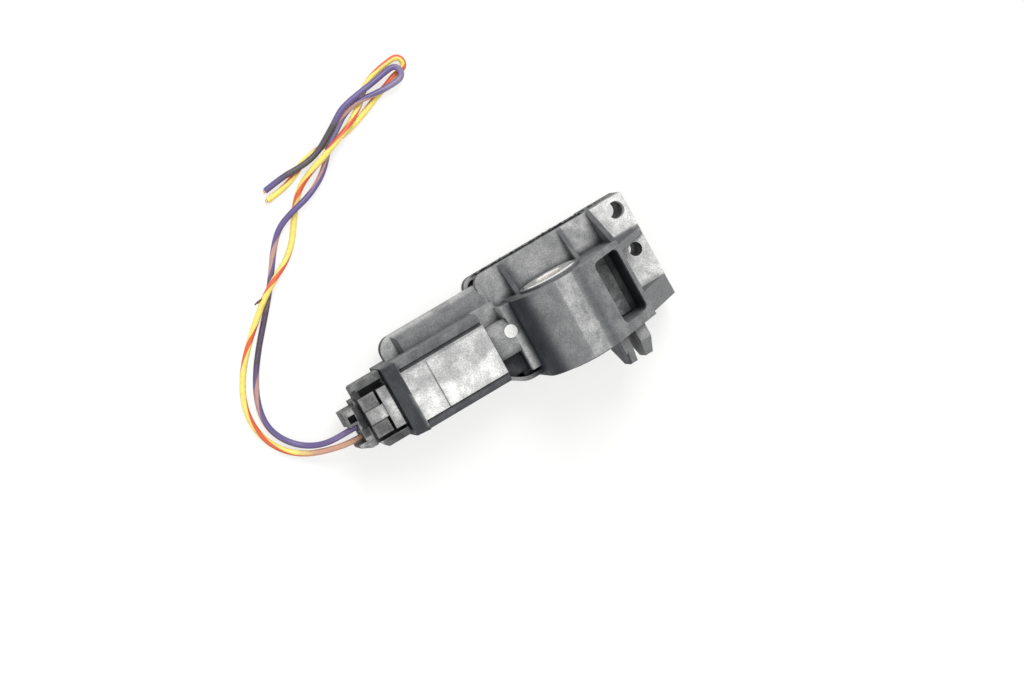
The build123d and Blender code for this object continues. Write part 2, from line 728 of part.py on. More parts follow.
# Harness plug, one moulding apart from its latch lever
body_low = plug_y - cavity_half_width + plug_clearance
body_high = plug_y + cavity_half_width - plug_clearance
body_bottom = cavity_bottom + plug_clearance
body_top = cavity_top - plug_clearance
body_rear_x = plug_rear_x + plug_body_inset
collar_low = plug_y + plug_collar_shift - plug_collar_half_width
collar_high = plug_y + plug_collar_shift + plug_collar_half_width
block_low = plug_y - wire_block_low
block_high = plug_y + wire_block_high
notch_x = wire_block_x + wire_notch_depth
notch_low = terminal_ys[1] - wire_radius - wire_notch_gap
notch_high = terminal_ys[0] + wire_radius + wire_notch_gap
latch_root_x = bolt_x - latch_root_reach
groove_left_x = bolt_x - ring_seal_place - ring_seal_width
groove_right_x = bolt_x - ring_seal_place
with BuildPart() as plug_housing:
    block(body_rear_x, plug_nose_x, body_low, body_high, body_bottom, body_top)
    block(groove_left_x, groove_right_x, body_low, body_high, body_bottom, body_top, mode=Mode.SUBTRACT)
    block(groove_left_x, groove_right_x, body_low + ring_seal_depth, body_high - ring_seal_depth,
          body_bottom + ring_seal_depth, body_top - ring_seal_depth)

    # Shallow collar behind the shroud, with a wall on each side of the lever
    with BuildSketch(Plane.XY.offset(plug_collar_bottom)) as collar_plan:
        with BuildLine():
            Polyline(
                (collar_front_x, collar_low),
                (collar_front_x, collar_high),
                (plug_rear_x, collar_high),
                (plug_rear_x, collar_low + plug_collar_cut_y),
                (plug_rear_x + plug_collar_cut_x, collar_low),
                close=True,
            )
        make_face()
        fillet(collar_plan.vertices().sort_by(Axis.Y)[-2:].sort_by(Axis.X)[0], plug_edge)
    extrude(amount=plug_collar_top - plug_collar_bottom)
    block(plug_rear_x, collar_front_x, collar_low + plug_collar_wall,
          collar_high - plug_collar_wall, plug_collar_floor, plug_collar_top, mode=Mode.SUBTRACT)

    # Wire block at the rear, notched where the wires leave it
    with BuildSketch(Plane.XY.offset(wire_block_bottom)):
        with BuildLine():
            Polyline(
                (wire_block_x, notch_high),
                (wire_block_x, block_high),
                (wire_block_x + wire_block_step_x + wire_notch_depth, block_high),
                (wire_block_x + wire_block_step_x + wire_notch_depth, block_high + wire_block_step_y),
                (body_rear_x, block_high + wire_block_step_y),
                (body_rear_x, block_low),
                (wire_block_x + wire_block_cut_x, block_low),
                (wire_block_x, block_low + wire_block_cut_y),
                (wire_block_x, notch_low),
                (notch_x, notch_low),
                (notch_x, notch_high),
                close=True,
            )
        make_face()
    extrude(amount=wire_block_top - wire_block_bottom)
    block(plug_rear_x, body_rear_x, block_low, block_high + wire_block_step_y, plug_collar_floor,
          wire_block_top, mode=Mode.SUBTRACT)
    tab_pocket_x = wire_block_x + tab_pocket_wall
    block(tab_pocket_x, tab_pocket_x + tab_pocket_length, notch_high + tab_pocket_wall,
          notch_high + tab_pocket_wall + tab_pocket_width, wire_block_top - tab_pocket_depth, wire_block_top,
          mode=Mode.SUBTRACT)

    # Post at the nose that carries the lever's root
    block(latch_root_x, latch_root_x + latch_post_length, plug_y - latch_arm_half_width,
          plug_y + latch_arm_half_width, body_top, latch_post_top)
    with Locations(Plane.XZ.offset(-plug_y).location):
        with Locations((latch_root_x, latch_root_height)):
            Cylinder(latch_root_radius + latch_root_fit, 3 * latch_arm_half_width, mode=Mode.SUBTRACT)

    # A bore for each terminal, wider at the rear for its wire seal
    seal_front_x = notch_x + seal_inset + seal_length
    for bore_y in terminal_ys:
        with Locations(Plane.YZ.offset(wire_block_x).location):
            with Locations((bore_y, terminal_height)):
                Cylinder(seal_bore_radius, seal_front_x - wire_block_x, mode=Mode.SUBTRACT,
                         align=(Align.CENTER, Align.CENTER, Align.MIN))
                Cylinder(terminal_bore_radius, plug_nose_x - wire_block_x, mode=Mode.SUBTRACT,
                         align=(Align.CENTER, Align.CENTER, Align.MIN))
plug_housing.part.label = "plug_housing"
export_step(plug_housing.part, "parts/plug_housing.step")
print("plug_housing", plug_housing.part.is_valid, len(plug_housing.solids()))

# Latch lever: root barrel, arm with its hook, thumb bar and rear paddle
latch_arm_bottom = latch_arm_top - latch_thick
latch_tip_x = bolt_x - latch_tip_reach
thumb_front_x = bolt_x - thumb_front_reach
thumb_rear_x = bolt_x - thumb_rear_reach
hook_rear_x = mouth_x + catch_bar + latch_hook_gap
with BuildPart() as latch_lever:
    block(thumb_front_x, latch_root_x, plug_y - latch_arm_half_width, plug_y + latch_arm_half_width,
          latch_arm_bottom, latch_arm_top)
    with Locations(Plane.XZ.offset(-plug_y).location):
        with Locations((latch_root_x, latch_root_height)):
            Cylinder(latch_root_radius, 2 * latch_arm_half_width)
    block(latch_tip_x, thumb_front_x, plug_y - latch_rear_half_width, plug_y + latch_rear_half_width,
          latch_arm_bottom, latch_arm_top)
    block(thumb_rear_x, thumb_front_x, plug_y - latch_rear_half_width, plug_y + latch_rear_half_width,
          latch_arm_bottom, latch_arm_top + thumb_rise)
    block(latch_tip_x, thumb_rear_x, plug_y - neck_half_width, plug_y + neck_half_width,
          latch_arm_bottom, latch_arm_top + neck_rise)
    for slit_low, slit_high in (
        (plug_y + neck_half_width, plug_y + latch_rear_half_width),
        (plug_y - latch_rear_half_width, plug_y - neck_half_width),
    ):
        block(thumb_rear_x - latch_slit, thumb_rear_x, slit_low, slit_high,
              latch_arm_bottom, latch_arm_top + thumb_rise, mode=Mode.SUBTRACT)
    with BuildSketch(Plane.XZ.offset(-(plug_y - latch_hook_half_width))):
        with BuildLine():
            Polyline(
                (hook_rear_x, latch_arm_top),
                (hook_rear_x, tunnel_top + latch_hook_engagement),
                (hook_rear_x + latch_hook_length, latch_arm_top),
                close=True,
            )
        make_face()
    extrude(amount=-2 * latch_hook_half_width)
latch_lever.part.label = "latch_lever"
export_step(latch_lever.part, "parts/latch_lever.step")
print("latch_lever", latch_lever.part.is_valid, len(latch_lever.solids()))

# Retainer over the plug's nose that locks the terminals
with BuildPart() as terminal_retainer:
    block(plug_nose_x, plug_nose_x + retainer_thick, body_low + retainer_fit, body_high - retainer_fit,
          body_bottom + retainer_fit, body_top - retainer_fit)
    pin_window = pin_size + 2 * retainer_fit
    for pin_y in terminal_ys:
        with Locations((plug_nose_x + retainer_thick / 2, pin_y, terminal_height)):
            Box(2 * retainer_thick, pin_window, pin_window, mode=Mode.SUBTRACT)
terminal_retainer.part.label = "terminal_retainer"
export_step(terminal_retainer.part, "parts/terminal_retainer.step")

# Ring seal in the plug's groove
with BuildPart() as interface_seal:
    block(groove_left_x + seal_fit, groove_right_x - seal_fit, plug_y - cavity_half_width + seal_fit,
          plug_y + cavity_half_width - seal_fit, cavity_bottom + seal_fit, cavity_top - seal_fit)
    block(groove_left_x, groove_right_x, body_low + ring_seal_depth - seal_fit,
          body_high - ring_seal_depth + seal_fit, body_bottom + ring_seal_depth - seal_fit,
          body_top - ring_seal_depth + seal_fit, mode=Mode.SUBTRACT)
interface_seal.part.label = "interface_seal"
export_step(interface_seal.part, "parts/interface_seal.step")

# Wire seals with two lips, and the crimped socket terminals
seal_rear_x = seal_front_x - seal_length
socket_front_x = bolt_x - socket_front_reach
socket_rear_x = socket_front_x - socket_length
crimp_x = socket_rear_x - crimp_length
wire_start_x = crimp_x - wire_end_gap
for side, bore_y in zip(upper_and_lower, terminal_ys):
    with BuildPart() as wire_seal:
        with Locations(Plane.YZ.offset(seal_rear_x).location):
            with Locations((bore_y, terminal_height)):
                Cylinder(seal_core_radius, seal_length, align=(Align.CENTER, Align.CENTER, Align.MIN))
        for lip in range(seal_lips):
            lip_x = seal_rear_x + (lip + 0.25) * seal_length / seal_lips
            with Locations(Plane.YZ.offset(lip_x).location):
                with Locations((bore_y, terminal_height)):
                    Cylinder(seal_bore_radius - wire_fit, seal_length / seal_lips / 2,
                             align=(Align.CENTER, Align.CENTER, Align.MIN))
        with Locations(Plane.YZ.offset(seal_rear_x).location):
            with Locations((bore_y, terminal_height)):
                Cylinder(wire_radius + wire_fit, seal_length, mode=Mode.SUBTRACT,
                         align=(Align.CENTER, Align.CENTER, Align.MIN))
    wire_seal.part.label = "wire_seal_" + side
    export_step(wire_seal.part, "parts/wire_seal_" + side + ".step")

    with BuildPart() as socket_terminal:
        block(socket_rear_x, socket_front_x, bore_y - socket_size / 2, bore_y + socket_size / 2,
              terminal_height - socket_size / 2, terminal_height + socket_size / 2)
        with Locations(Plane.YZ.offset(crimp_x).location):
            with Locations((bore_y, terminal_height)):
                Cylinder(crimp_radius, crimp_length, align=(Align.CENTER, Align.CENTER, Align.MIN))
        with Locations(Plane.YZ.offset(crimp_x - insulation_crimp_length).location):
            with Locations((bore_y, terminal_height)):
                Cylinder(terminal_bore_radius - wire_fit, insulation_crimp_length + insulation_crimp_overlap,
                         align=(Align.CENTER, Align.CENTER, Align.MIN))
                Cylinder(wire_radius + wire_fit, insulation_crimp_length, mode=Mode.SUBTRACT,
                         align=(Align.CENTER, Align.CENTER, Align.MIN))
        pin_hole = pin_size + 2 * pin_fit
        pin_hole_end = bolt_x - pin_tip_reach - pin_fit
        block(pin_hole_end, socket_front_x, bore_y - pin_hole / 2, bore_y + pin_hole / 2,
              terminal_height - pin_hole / 2, terminal_height + pin_hole / 2, mode=Mode.SUBTRACT)
    socket_terminal.part.label = "socket_terminal_" + side
    export_step(socket_terminal.part, "parts/socket_terminal_" + side + ".step")

# Two cut wires: straight out of the plug and down to the table, round behind the sensor in a wide bend,
# then out to a flat hairpin that comes back to the cut ends. They cross each other several times.
wire_routes = {
    "violet": [
        (wire_start_x, terminal_ys[0], terminal_height),
        (-40.2, terminal_ys[0], terminal_height - wire_slack),
        (-51.4, terminal_ys[0], terminal_height),
        (-57.8, 1.1, 5.4),
        (-63, 3.1, 2),
        (-67.3, 7.5, lying),
        (-69.7, 13.4, lying),
        (-68.7, 20.4, lying),
        (-65.3, 27.4, lying),
        (-60.5, 33.9, lying),
        (-55.6, 39.5, lying),
        (-51, 44.9, lying),
        (-46.8, 50.5, lying),
        (-43, 56, lying),
        (-38.8, 60.6, 1.8),
        (-33.4, 62.7, over + 0.1),
        (-27.7, 64, over + 0.1),
        (-22.4, 66.3, 2),
        (-18.8, 69.1, 2.2),
        (-16.1, 72.4, over),
        (-13.2, 74.9, over),
        (-9.9, 77.2, over),
        (-6.3, 79.6, over),
        (-1.6, 80.8, over + 0.05),
        (3.7, 80.1, over),
        (9.5, 79.95, over),
        (12.84, 80.35, over),
        (13.89, 81.69, over),
        (13.68, 83.37, over),
        (12.34, 84.42, over),
        (9, 83.95, over),
        (5, 83.2, 3.4),
        (0.4, 82.6, 4.2),
        (-3.7, 81.9, 4.4),
        (-7.3, 80.9, 4.4),
        (-11, 78.4, 4.4),
        (-14.4, 76.3, 4),
        (-17.3, 74.4, over + 0.2),
        (-21.1, 73, over + 0.1),
        (-25.9, 72.5, over + 0.1),
        (-31, 72.6, over - 0.2),
        (-36.8, 71.5, lying),
    ],
    "yellow": [
        (wire_start_x, terminal_ys[1], terminal_height),
        (-40.4, terminal_ys[1], terminal_height - wire_slack),
        (-51.8, terminal_ys[1], terminal_height),
        (-57.9, -0.9, 5),
        (-63.6, 0.9, 1.8),
        (-68.6, 4.6, lying),
        (-72.2, 10.8, lying),
        (-73, 18, lying),
        (-71.1, 24.9, lying),
        (-67, 31.4, lying),
        (-61.6, 37.1, lying),
        (-56.8, 41.5, 1.7),
        (-52, 45.8, over + 0.15),
        (-46.6, 49, over + 0.15),
        (-41.4, 51.5, 1.6),
        (-37, 55.5, lying),
        (-33.6, 60.5, lying),
        (-30.6, 64.7, lying),
        (-27.1, 68, 1.7),
        (-22.8, 70.2, 3.6),
        (-18.3, 71.8, top + 0.15),
        (-13.2, 73.7, top + 0.1),
        (-8.3, 75.4, 3.3),
        (-4.5, 77.4, 2.2),
        (-0.6, 79.8, lying),
        (2.1, 82.5, lying),
        (4.8, 84.3, lying),
        (8.1, 85.4, lying),
        (11.5, 86, lying),
        (14.64, 86.41, lying),
        (15.98, 85.36, lying),
        (16.19, 83.68, lying),
        (15.14, 82.34, lying),
        (11.9, 81.95, lying),
        (8.5, 80.5, lying),
        (5.1, 79.3, lying),
        (2.1, 78.1, lying),
        (-1.5, 76.6, lying),
        (-5.2, 75.4, lying),
        (-8.6, 74.5, lying),
        (-12.1, 74.1, lying),
        (-15.2, 74.4, lying),
        (-18.8, 74.2, lying),
        (-22.9, 73.6, lying),
        (-26.6, 71.6, lying),
        (-30.3, 70, lying),
        (-34.1, 69.2, lying),
        (-37.6, 68.8, lying),
    ],
}
for colour, route in wire_routes.items():
    corners = [Vector(*corner) for corner in route]
    runs = [after - before for before, after in zip(corners, corners[1:])]
    bend_radii = []
    for run, next_run in zip(runs, runs[1:]):
        shorter_run = min(run.length, next_run.length)
        half_turn = radians(run.get_angle(next_run) / 2)
        bend_radii.append(bend_share * shorter_run / tan(half_turn))
    with BuildPart() as wire:
        with BuildLine():
            wire_line = FilletPolyline(*corners, radius=bend_radii)
        with BuildSketch(Plane(origin=wire_line @ 0, z_dir=wire_line % 0)) as wire_section:
            RegularPolygon(wire_radius, wire_sides)
        sweep()
    wire_length = wire_line.length
    print("wire_" + colour, "length", round(wire_length, 1), "radii", [round(radius, 1) for radius in bend_radii])
    print("volume over section times length", round(wire.part.volume / (wire_section.sketch.area * wire_length), 4))
    wire.part.label = "wire_" + colour
    export_step(wire.part, "parts/wire_" + colour + ".step")

    with BuildPart() as copper_end:
        with BuildSketch(Plane(origin=wire_line @ 1, z_dir=wire_line % 1)):
            Circle(strand_radius)
        extrude(amount=strand_length)
    copper_end.part.label = "copper_end_" + colour
    export_step(copper_end.part, "parts/copper_end_" + colour + ".step")
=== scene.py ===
import math

import bpy
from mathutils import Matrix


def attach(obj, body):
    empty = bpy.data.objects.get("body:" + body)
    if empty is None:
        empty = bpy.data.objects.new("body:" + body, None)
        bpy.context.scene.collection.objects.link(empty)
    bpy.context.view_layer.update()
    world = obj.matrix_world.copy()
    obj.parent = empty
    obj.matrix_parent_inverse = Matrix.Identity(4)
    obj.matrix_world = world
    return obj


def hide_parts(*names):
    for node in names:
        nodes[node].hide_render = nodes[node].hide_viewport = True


# Airbag crash sensor with its plug and two cut wires, dressed for the photograph. Metres.
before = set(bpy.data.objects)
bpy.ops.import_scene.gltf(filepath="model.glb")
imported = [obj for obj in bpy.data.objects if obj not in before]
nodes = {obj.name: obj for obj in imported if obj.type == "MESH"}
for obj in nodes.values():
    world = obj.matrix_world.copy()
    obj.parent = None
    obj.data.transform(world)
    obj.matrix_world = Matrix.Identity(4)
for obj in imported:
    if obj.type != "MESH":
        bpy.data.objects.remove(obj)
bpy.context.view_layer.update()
print("frame loaded")

mm = 0.001

# Camera matched to the photograph, turned in degrees
view = {
    "place": (-0.17310, 0.11588, 0.87564),
    "turn": (-0.8526, -13.6343, -29.7664),
    "lens": 109.75,
    "sensor": 36.0,
}
cameraData = bpy.data.cameras.new("photoCamera")
cameraData.lens = view["lens"]
cameraData.sensor_width = view["sensor"]
camera = bpy.data.objects.new("photoCamera", cameraData)
camera.location = view["place"]
camera.rotation_euler = [math.radians(angle) for angle in view["turn"]]
bpy.context.scene.collection.objects.link(camera)
bpy.context.scene.camera = camera
bpy.context.scene.view_settings.view_transform = "Standard"
print("camera set")


# Fixed values of the helpers for the materials' nodes
helper = {
    "noiseRoughness": 0.6,
    "shadeSamples": 8,
    "edgeSamples": 6,
    "edgeTurn": (0.78, 0.985),  # how alike the rounded and the flat normal are on an edge and off it
}


def startFinish(name):
    material = bpy.data.materials.new(name)
    material.use_nodes = True
    tree = material.node_tree
    tree.nodes.clear()
    shader = tree.nodes.new("ShaderNodeBsdfPrincipled")
    output = tree.nodes.new("ShaderNodeOutputMaterial")
    tree.links.new(shader.outputs["BSDF"], output.inputs["Surface"])
    return material, tree, shader


def objectPoint(tree):
    return tree.nodes.new("ShaderNodeTexCoord").outputs["Object"]


def objectFacing(tree, axis):
    split = tree.nodes.new("ShaderNodeSeparateXYZ")
    tree.links.new(tree.nodes.new("ShaderNodeTexCoord").outputs["Normal"], split.inputs[0])
    return split.outputs[axis]


def spread(tree, value, low, high, toLow=0.0, toHigh=1.0):
    ramp = tree.nodes.new("ShaderNodeMapRange")
    ramp.interpolation_type = "SMOOTHSTEP"
    ramp.inputs["From Min"].default_value = low
    ramp.inputs["From Max"].default_value = high
    ramp.inputs["To Min"].default_value = toLow
    ramp.inputs["To Max"].default_value = toHigh
    tree.links.new(value, ramp.inputs["Value"])
    return ramp.outputs["Result"]


def combine(tree, operation, first, second):
    node = tree.nodes.new("ShaderNodeMath")
    node.operation = operation
    for socket, value in zip(node.inputs, (first, second)):
        if isinstance(value, (int, float)):
            socket.default_value = value
        else:
            tree.links.new(value, socket)
    return node.outputs[0]


def speckle(tree, point, scale, detail, low, high):
    noise = tree.nodes.new("ShaderNodeTexNoise")
    noise.inputs["Scale"].default_value = scale
    noise.inputs["Detail"].default_value = detail
    noise.inputs["Roughness"].default_value = helper["noiseRoughness"]
    tree.links.new(point, noise.inputs["Vector"])
    return spread(tree, noise.outputs["Fac"], low, high)


def combineVectors(tree, operation, first, second=None):
    node = tree.nodes.new("ShaderNodeVectorMath")
    node.operation = operation
    tree.links.new(first, node.inputs[0])
    if second is not None:
        node.inputs[1].default_value = second
    return node.outputs["Vector"]


def insideBox(tree, point, lowCorner, highCorner, soft):
    middle = [(low + high) / 2 for low, high in zip(lowCorner, highCorner)]
    half = [(high - low) / 2 for low, high in zip(lowCorner, highCorner)]
    away = combineVectors(tree, "ABSOLUTE", combineVectors(tree, "SUBTRACT", point, middle))
    split = tree.nodes.new("ShaderNodeSeparateXYZ")
    tree.links.new(combineVectors(tree, "SUBTRACT", away, half), split.inputs[0])
    furthest = combine(tree, "MAXIMUM", split.outputs[0], split.outputs[1])
    furthest = combine(tree, "MAXIMUM", furthest, split.outputs[2])
    return spread(tree, furthest, -soft, soft, 1.0, 0.0)


def blendColours(tree, amount, first, second):
    mix = tree.nodes.new("ShaderNodeMix")
    mix.data_type = "RGBA"
    tree.links.new(amount, mix.inputs["Factor"])
    sockets = [socket for socket in mix.inputs if socket.type == "RGBA"]
    for socket, colour in zip(sockets, (first, second)):
        if isinstance(colour, tuple):
            socket.default_value = (*colour, 1.0)
        else:
            tree.links.new(colour, socket)
    return [socket for socket in mix.outputs if socket.type == "RGBA"][0]


def mixValues(tree, amount, first, second):
    mix = tree.nodes.new("ShaderNodeMix")
    for place, value in zip((0, 2, 3), (amount, first, second)):
        tree.links.new(value, mix.inputs[place])
    return mix.outputs[0]


def seenDirectly(tree):
    rays = tree.nodes.new("ShaderNodeLightPath")
    seen = combine(tree, "MAXIMUM", rays.outputs["Is Camera Ray"], rays.outputs["Is Glossy Ray"])
    return combine(tree, "MAXIMUM", seen, rays.outputs["Is Transmission Ray"])


def openness(tree, reach):
    shade = tree.nodes.new("ShaderNodeAmbientOcclusion")
    shade.samples = helper["shadeSamples"]
    shade.inputs["Distance"].default_value = reach
    return shade.outputs["AO"]


def softEdges(tree, radius):
    bevel = tree.nodes.new("ShaderNodeBevel")
    bevel.samples = helper["edgeSamples"]
    bevel.inputs["Radius"].default_value = radius
    turn = tree.nodes.new("ShaderNodeVectorMath")
    turn.operation = "DOT_PRODUCT"
    tree.links.new(bevel.outputs["Normal"], turn.inputs[0])
    tree.links.new(tree.nodes.new("ShaderNodeNewGeometry").outputs["Normal"], turn.inputs[1])
    return bevel.outputs["Normal"], spread(tree, turn.outputs["Value"], *helper["edgeTurn"], 1.0, 0.0)


def addBump(tree, shader, height, strength, distance, normal=None):
    bump = tree.nodes.new("ShaderNodeBump")
    bump.inputs["Strength"].default_value = strength
    bump.inputs["Distance"].default_value = distance
    tree.links.new(height, bump.inputs["Height"])
    if normal is not None:
        tree.links.new(normal, bump.inputs["Normal"])
    tree.links.new(bump.outputs["Normal"], shader.inputs["Normal"])


def paint(node, material):
    mesh = nodes[node].data
    mesh.materials.clear()
    mesh.materials.append(material)


# Dusty black moulding: near black in its gaps and on its left sides as painted shade, and hazed grey where
# it faces up, partly from dust and partly as painted light.
# Each patch is a box in mm, how softly it ends, and its tone between the scuffs and on them, which is dust
# except where a patch is marked as painted shade or painted highlight.
# A noise is its scale, its detail, and the lowest and highest value that count.
housing = {
    "bare": (0.018, 0.021, 0.028),
    "dust": (0.90, 0.90, 0.885),
    "sideHaze": 0.11,
    # Faces turned up get dust and painted light, faces turned right painted light, faces turned left
    # painted shade
    "upDustAndLight": 0.15,
    "rightLight": 0.03,
    "leftShade": -0.10,
    "upFacing": (0.55, 1.0),
    "rightFacing": (0.0, 0.8),
    "leftFacing": (-1.0, -0.1),
    "patches": {
        # painted shade on the mouth bar, whose faces turn left
        "mouthBar": ((-36.4, -9.0, 17.0), (-32.2, 14.0, 22.4), 0.12, 0.022, 0.045),
        "railUpper": ((-32.1, 9.9, 20.0), (-5.0, 13.4, 21.6), 0.25, 0.10, 0.16),
        "riserUpper": ((-32.1, 13.0, 12.6), (-5.0, 13.5, 20.0), 0.15, 0.16, 0.22),
        "panel": ((-32.2, -5.6, 21.5), (-5.0, 9.9, 22.4), 0.12, 0.44, 0.62),
        "panelWorn": ((-23.8, -4.6, 18.0), (-7.6, 0.6, 26.0), 2.2, 0.74, 1.08),
        "panelEnd": ((-31.6, -6.0, 18.5), (-25.6, 2.0, 25.5), 1.8, 0.76, 0.94),
        "panelLine": ((-24.5, -5.6, 21.5), (-24.1, 9.9, 22.4), 0.16, 0.14, 0.24),
        "panelTop": ((-32.2, 9.0, 21.5), (-5.0, 10.0, 22.4), 0.35, 0.28, 0.40),
        "railLower": ((-32.1, -8.4, 20.0), (-5.0, -5.55, 21.6), 0.12, 0.05, 0.08),
        # painted highlight along the guard bar's outer rounded side
        "guardPale": ((-28.2, 18.2, 4.0), (0.6, 20.0, 12.6), 0.7, 0.26, 0.44),
        "guardTop": ((-28.2, 12.0, 10.0), (0.6, 18.0, 12.6), 0.9, 0.12, 0.17),
        "guardNose": ((-33.0, 12.0, 8.8), (-27.9, 20.0, 9.95), 0.25, 0.30, 0.56),
        "neckTop": ((-5.0, 7.6, 12.3), (4.0, 13.4, 12.9), 0.25, 0.30, 0.42),
        "neckLow": ((-5.0, -9.2, 5.0), (2.0, -2.8, 12.9), 0.40, 0.04, 0.10),
        "hump": ((-5.2, -3.2, 15.0), (2.0, 8.0, 20.0), 0.30, 0.24, 0.34),
        "strip": ((2.0, -9.2, 19.6), (5.0, 11.5, 20.2), 0.12, 0.30, 0.42),
        "stripWorn": ((1.9, -9.2, 18.0), (4.4, 2.5, 22.0), 0.9, 0.72, 0.95),
        "stripSide": ((1.8, 7.8, 12.4), (2.3, 11.5, 19.9), 0.15, 0.50, 0.80),
        "boss": ((8.6, -12.7, 20.0), (15.8, 11.7, 38.0), 2.4, 0.165, 0.215),
        # painted shade on the boss's left side
        "bossLeft": ((3.0, -12.7, 12.0), (7.0, 11.7, 36.0), 3.0, 0.006, 0.018),
        "crown": ((16.1, -12.7, 34.8), (21.7, 11.7, 35.4), 0.20, 0.31, 0.43),
        "crownScar": ((19.3, -11.5, 33.0), (20.0, 3.0, 37.0), 0.5, 0.22, 0.50),
        "wall": ((22.5, -12.7, 22.4), (40.2, 11.7, 35.1), 0.8, 0.155, 0.23),
        "shoulder": ((21.7, -12.7, 30.0), (24.6, 11.7, 35.1), 0.8, 0.10, 0.14),
        "plate": ((0.4, 10.0, 11.8), (29.0, 21.6, 12.2), 0.12, 0.25, 0.34),
        "plateEnd": ((30.4, 10.0, 11.8), (39.0, 21.6, 12.2), 0.12, 0.34, 0.50),
        "plateShade": ((6.0, 9.0, 9.0), (38.5, 12.6, 15.0), 1.3, 0.085, 0.13),
        "ribShade": ((9.0, 11.0, 9.0), (12.4, 22.0, 14.0), 1.3, 0.11, 0.16),
        # painted shade: the ribs and the web darker, standing in for their shaded sides
        "ribs": ((8.7, 11.6, 12.2), (10.4, 21.6, 17.0), 0.12, 0.05, 0.09),
        "ribsEnd": ((28.8, 11.6, 12.2), (30.5, 21.6, 17.0), 0.12, 0.09, 0.15),
        "web": ((38.6, 11.6, 12.2), (40.5, 21.6, 23.4), 0.12, 0.07, 0.11),
        "pads": ((40.3, -11.8, 11.8), (51.2, 21.6, 12.2), 0.12, 0.62, 0.84),
        "padHoles": ((44.4, 13.0, 9.8), (50.6, 21.4, 14.4), 1.2, 0.82, 1.1),
        # painted shade: a dark band on the pads beside the gusset
        "gussetShade": ((41.4, 9.4, 11.0), (51.2, 11.1, 13.0), 0.35, 0.22, 0.32),
        "pocketFloor": ((29.0, -10.0, 12.0), (39.2, 10.0, 13.0), 0.12, 0.10, 0.20),
        "pegTop": ((26.4, -17.0, 24.8), (35.6, -12.4, 25.2), 0.12, 0.20, 0.32),
        # painted shade on the peg's left side
        "pegSide": ((26.0, -21.6, 10.0), (27.4, -12.6, 24.2), 0.20, 0.03, 0.06),
        "pegSlot": ((29.1, -21.6, 9.0), (32.1, -12.8, 24.0), 0.2, 0.14, 0.22),
    },
    "scuffs": (190.0, 6.0, 0.36, 0.66),
    "mottle": (420.0, 5.0, 0.3, 0.7),
    "mottleShare": (0.90, 1.10),
    "grain": (2600.0, 2.0, 0.3, 0.7),
    "grainShare": (0.80, 1.20),
    "edge": (0.35 * mm, 0.10),  # radius of a rounded edge, and its extra lightness, partly wear and partly painted highlight
    "wallReach": 2.6 * mm,  # how far off a wall shades the surface
    "creviceShade": (0.25, 0.95, 0.32, 1.0),  # openness in crevices and in the open, and the share of the dust tone kept at each, so crevices get painted shade
    "gap": (0.0, 0.6, 0.35, 1.0),  # openness deep in gaps and outside them, and the share of the surface colour left at each; the rest is painted shade in near black
    # near black of the painted shade deep in gaps
    "gapColour": (0.004, 0.004, 0.005),
    "roughness": (0.45, 0.65),
    "specular": 0.18,
    "bump": (0.25, 0.08 * mm),
}


def mouldedFinish(name, look):
    material, tree, shader = startFinish(name)
    point = objectPoint(tree)
    # Painted light and shade by facing: lighter up and right, darker left; the up-facing share is also
    # dust
    up = spread(tree, objectFacing(tree, 2), *look["upFacing"])
    side = objectFacing(tree, 0)
    right = spread(tree, side, *look["rightFacing"])
    left = spread(tree, side, *look["leftFacing"], 1.0, 0.0)
    dustAndShading = combine(tree, "ADD", look["sideHaze"], combine(tree, "MULTIPLY", up, look["upDustAndLight"]))
    dustAndShading = combine(tree, "ADD", dustAndShading, combine(tree, "MULTIPLY", right, look["rightLight"]))
    dustAndShading = combine(tree, "ADD", dustAndShading, combine(tree, "MULTIPLY", left, look["leftShade"]))
    scuffs = speckle(tree, point, *look["scuffs"])
    for lowCorner, highCorner, soft, dim, bright in look["patches"].values():
        corners = [[value * mm for value in corner] for corner in (lowCorner, highCorner)]
        patchTone = spread(tree, scuffs, 0.0, 1.0, dim, bright)
        dustAndShading = mixValues(tree, insideBox(tree, point, *corners, soft * mm), dustAndShading, patchTone)
    # Edges are rounded by the bevel normal and lifted lighter, partly as wear and partly as painted
    # highlight
    normal, edge = softEdges(tree, look["edge"][0])
    dustAndShading = combine(tree, "ADD", dustAndShading, combine(tree, "MULTIPLY", edge, look["edge"][1]))
    mottle = speckle(tree, point, *look["mottle"])
    dustAndShading = combine(tree, "MULTIPLY", dustAndShading, spread(tree, mottle, 0.0, 1.0, *look["mottleShare"]))
    grain = speckle(tree, point, *look["grain"])
    dustAndShading = combine(tree, "MULTIPLY", dustAndShading, spread(tree, grain, 0.0, 1.0, *look["grainShare"]))
    # Painted shade from openness: crevices keep less of the dust tone and deep gaps turn near black
    clear = openness(tree, look["wallReach"])
    dustAndShading = combine(tree, "MULTIPLY", dustAndShading, spread(tree, clear, *look["creviceShade"]))
    colour = blendColours(tree, dustAndShading, look["bare"], look["dust"])
    colour = blendColours(tree, spread(tree, clear, *look["gap"]), look["gapColour"], colour)
    tree.links.new(colour, shader.inputs["Base Color"])
    tree.links.new(spread(tree, mottle, 0.0, 1.0, *look["roughness"]), shader.inputs["Roughness"])
    shader.inputs["Specular IOR Level"].default_value = look["specular"]
    addBump(tree, shader, grain, *look["bump"], normal)
    return material


paint("sensor_housing", mouldedFinish("housingMoulding", housing))
print("housing finished")

# The cover's rim shows past the tray's rounded corner
cover = dict(
    housing,
    patches={
        "cornerRim": ((-1.6, 15.0, 4.0), (3.5, 21.6, 5.2), 0.4, 0.30, 0.50),
    },
)
paint("rear_cover", mouldedFinish("coverMoulding", cover))

